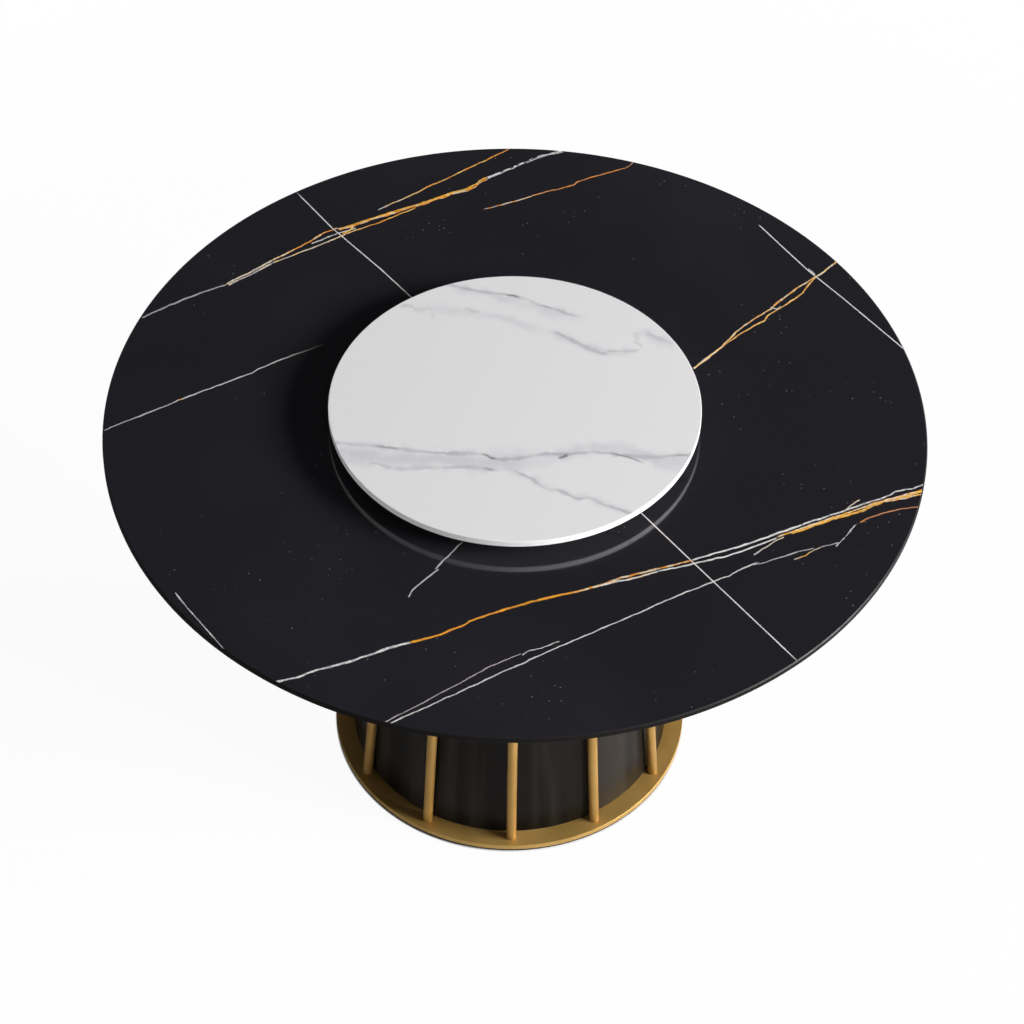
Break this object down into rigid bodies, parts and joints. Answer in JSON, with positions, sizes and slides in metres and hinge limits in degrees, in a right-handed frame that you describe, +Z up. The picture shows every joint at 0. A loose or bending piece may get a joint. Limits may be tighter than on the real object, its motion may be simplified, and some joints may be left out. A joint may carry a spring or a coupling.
{
  "type": "dining table with lazy susan",
  "caption": "Round stone-topped dining table on a drum pedestal caged by leaning tubes, with a turning stone lazy susan in the middle.",
  "frame": {"origin": "on the floor, at the centre of the pedestal", "axes": "+Z up along the pedestal's axis, which the lazy susan turns about; -Y towards the diner who faces the table; the drum's seam is at +Y"},
  "size_m": [1.3498, 1.35, 0.791],
  "materials": {
    "black_stone": "honed sintered stone, black with fine white and gold veins",
    "white_stone": "polished sintered stone, white with soft grey veins",
    "painted_plywood": "plywood painted matt black on every face and edge",
    "bare_plywood": "bare birch plywood",
    "gold_steel": "satin gold-coloured coating on ground steel",
    "black_drum_steel": "semi-gloss black powder coat",
    "black_frame_steel": "matt black powder coat",
    "zinc_fastener": "bright zinc plate",
    "black_fastener": "black oxide",
    "brass_insert": "turned brass",
    "mill_aluminium": "extruded and bent aluminium, lightly brushed",
    "ball_steel": "polished bearing steel",
    "cage_plastic": "natural nylon",
    "black_rubber": "moulded rubber",
    "clear_pad": "translucent silicone",
    "adhesive": "cured grey adhesive"
  },
  "bodies": {
    "table": {"top_slab": "black_stone", "slab_adhesive": "adhesive", "backing_board": "painted_plywood", "threaded_inserts": "brass_insert", "top_bolts": "black_fastener", "top_washers": "black_fastener", "mounting_plate": "black_frame_steel", "head_flange": "black_frame_steel", "head_gussets": "black_frame_steel", "column_tube": "black_frame_steel", "foot_gussets": "black_frame_steel", "foot_flange": "black_frame_steel", "base_plate": "black_frame_steel", "glide_pads": "black_rubber", "head_flange_screws": "zinc_fastener", "foot_flange_screws": "zinc_fastener", "upper_ring_screws": "zinc_fastener", "lower_ring_screws": "zinc_fastener", "upper_ring": "gold_steel", "lower_ring": "gold_steel", "tube_foot_plugs": "zinc_fastener", "tube_head_plugs": "zinc_fastener", "tube_foot_screws": "zinc_fastener", "tube_head_screws": "zinc_fastener", "drum_skin": "black_drum_steel", "skin_screws": "black_fastener", "seam_strip": "black_drum_steel", "upper_former": "painted_plywood", "lower_former": "painted_plywood", "drum_battens": "bare_plywood", "cage_tube_01": "gold_steel", "cage_tube_02": "gold_steel", "cage_tube_03": "gold_steel", "cage_tube_04": "gold_steel", "cage_tube_05": "gold_steel", "cage_tube_06": "gold_steel", "cage_tube_07": "gold_steel", "cage_tube_08": "gold_steel", "cage_tube_09": "gold_steel", "cage_tube_10": "gold_steel", "cage_tube_11": "gold_steel", "cage_tube_12": "gold_steel"},
    "turntable_base": {"bearing_outer_ring": "mill_aluminium", "filling_plug": "black_fastener", "susan_feet": "black_rubber"},
    "ball_cage": {"ball_cage": "cage_plastic", "bearing_balls": "ball_steel"},
    "turntable": {"bearing_inner_ring": "mill_aluminium", "disc_pads": "clear_pad", "susan_disc": "white_stone"}
  },
  "joints": [
    {"name": "turntable_lift", "type": "slide", "parent": "table", "child": "turntable_base", "axis": [0, 0, 1], "range_m": [0, 0.1]},
    {"name": "turntable_spin", "type": "hinge", "parent": "turntable_base", "child": "turntable", "pos_m": [0, 0, 0.767], "axis": [0, 0, 1], "continuous": true},
    {"name": "ball_cage_orbit", "type": "hinge", "parent": "turntable_base", "child": "ball_cage", "pos_m": [0, 0, 0.767], "axis": [0, 0, 1], "continuous": true}
  ],
  "couplings": [
    {"joint": "ball_cage_orbit", "follows": "turntable_spin", "ratio": 0.49}
  ]
}
